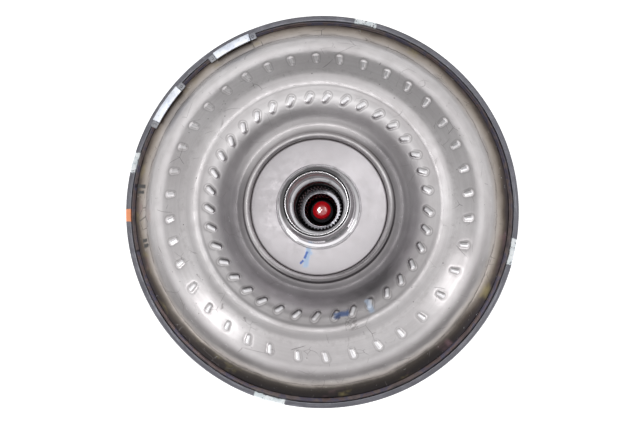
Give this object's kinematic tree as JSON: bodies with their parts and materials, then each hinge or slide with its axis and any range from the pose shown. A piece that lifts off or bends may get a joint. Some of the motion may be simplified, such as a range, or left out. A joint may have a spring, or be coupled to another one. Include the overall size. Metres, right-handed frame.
{
  "type": "torque converter",
  "caption": "Welded hydrodynamic torque converter with lock-up clutch: domed impeller shell, drive neck, turbine, one-way stator and lugged front cover.",
  "frame": {"origin": "on the axis of rotation, in the plane of the four mounting pads that the part rests on", "axes": "+Z along the axis of rotation from the engine side to the pump-drive neck; +X is azimuth zero of the blade-tab marks"},
  "size_m": [0.265, 0.265, 0.131],
  "materials": {
    "pressed_steel": "satin pressed steel with scuffs",
    "cover_steel": "dark turned mill steel",
    "machined_steel": "fine turned",
    "ground_steel": "ground and polished",
    "weld_metal": "heat tinted weld bead",
    "weight_steel": "bright zinc plated",
    "blade_steel": "rolled sheet",
    "hardened_steel": "ground, oiled",
    "spring_steel": "oil tempered",
    "stator_casting": "as cast",
    "friction_paper": "bonded friction paper",
    "seal_polymer": "moulded"
  },
  "bodies": {
    "housing": {"front_cover": "cover_steel", "cover_pilot": "machined_steel", "pilot_weld": "weld_metal", "mounting_lugs": "cover_steel", "lug_welds": "weld_metal", "closure_weld": "weld_metal", "impeller_shell": "pressed_steel", "impeller_blades": "blade_steel", "impeller_core_ring": "pressed_steel", "impeller_hub": "ground_steel", "hub_weld": "weld_metal", "balance_weights": "weight_steel", "front_bearing_cover_race": "hardened_steel", "rear_bearing_hub_race": "hardened_steel"},
    "turbine": {"turbine_shell": "pressed_steel", "turbine_blades": "blade_steel", "turbine_core_ring": "pressed_steel", "turbine_hub": "machined_steel", "hub_rivets": "blade_steel", "hub_wire_ring": "ground_steel", "damper_driven_plate": "pressed_steel", "piston_inner_seal": "seal_polymer", "front_bearing_hub_race": "hardened_steel", "middle_bearing_turbine_race": "hardened_steel"},
    "damper": {"damper_front_plate": "pressed_steel", "damper_rear_plate": "pressed_steel", "damper_rivets": "blade_steel", "damper_springs": "spring_steel"},
    "piston": {"lockup_piston": "pressed_steel", "friction_facing": "friction_paper"},
    "stator_race": {"stator_inner_race": "hardened_steel"},
    "stator": {"stator_wheel": "stator_casting", "stator_outer_race": "machined_steel", "clutch_rollers": "hardened_steel", "clutch_roller_springs": "spring_steel", "stator_front_cap": "stator_casting", "stator_rear_cap": "stator_casting", "middle_bearing_stator_race": "hardened_steel", "rear_bearing_stator_race": "hardened_steel"},
    "front_bearing": {"front_bearing_cage": "hardened_steel", "front_bearing_rollers": "hardened_steel"},
    "middle_bearing": {"middle_bearing_cage": "hardened_steel", "middle_bearing_rollers": "hardened_steel"},
    "rear_bearing": {"rear_bearing_cage": "hardened_steel", "rear_bearing_rollers": "hardened_steel"}
  },
  "joints": [
    {"name": "turbine_spin", "type": "hinge", "parent": "housing", "child": "turbine", "pos_m": [0, 0, 0.04], "axis": [0, 0, 1], "continuous": true},
    {"name": "damper_twist", "type": "hinge", "parent": "turbine", "child": "damper", "pos_m": [0, 0, 0.027], "axis": [0, 0, 1], "range_deg": [-5, 5]},
    {"name": "lockup_slide", "type": "slide", "parent": "damper", "child": "piston", "axis": [0, 0, -1], "range_m": [0, 0.0009]},
    {"name": "stator_race_spin", "type": "hinge", "parent": "housing", "child": "stator_race", "pos_m": [0, 0, 0.068], "axis": [0, 0, 1], "continuous": true},
    {"name": "stator_freewheel", "type": "hinge", "parent": "stator_race", "child": "stator", "pos_m": [0, 0, 0.068], "axis": [0, 0, 1], "continuous": true},
    {"name": "front_bearing_spin", "type": "hinge", "parent": "housing", "child": "front_bearing", "pos_m": [0, 0, 0.02], "axis": [0, 0, 1], "continuous": true},
    {"name": "middle_bearing_spin", "type": "hinge", "parent": "housing", "child": "middle_bearing", "pos_m": [0, 0, 0.046], "axis": [0, 0, 1], "continuous": true},
    {"name": "rear_bearing_spin", "type": "hinge", "parent": "stator_race", "child": "rear_bearing", "pos_m": [0, 0, 0.089], "axis": [0, 0, 1], "continuous": true}
  ],
  "couplings": [
    {"joint": "front_bearing_spin", "follows": "turbine_spin", "ratio": 0.5},
    {"joint": "middle_bearing_spin", "follows": "turbine_spin", "ratio": 0.5},
    {"joint": "rear_bearing_spin", "follows": "stator_freewheel", "ratio": 0.5}
  ]
}
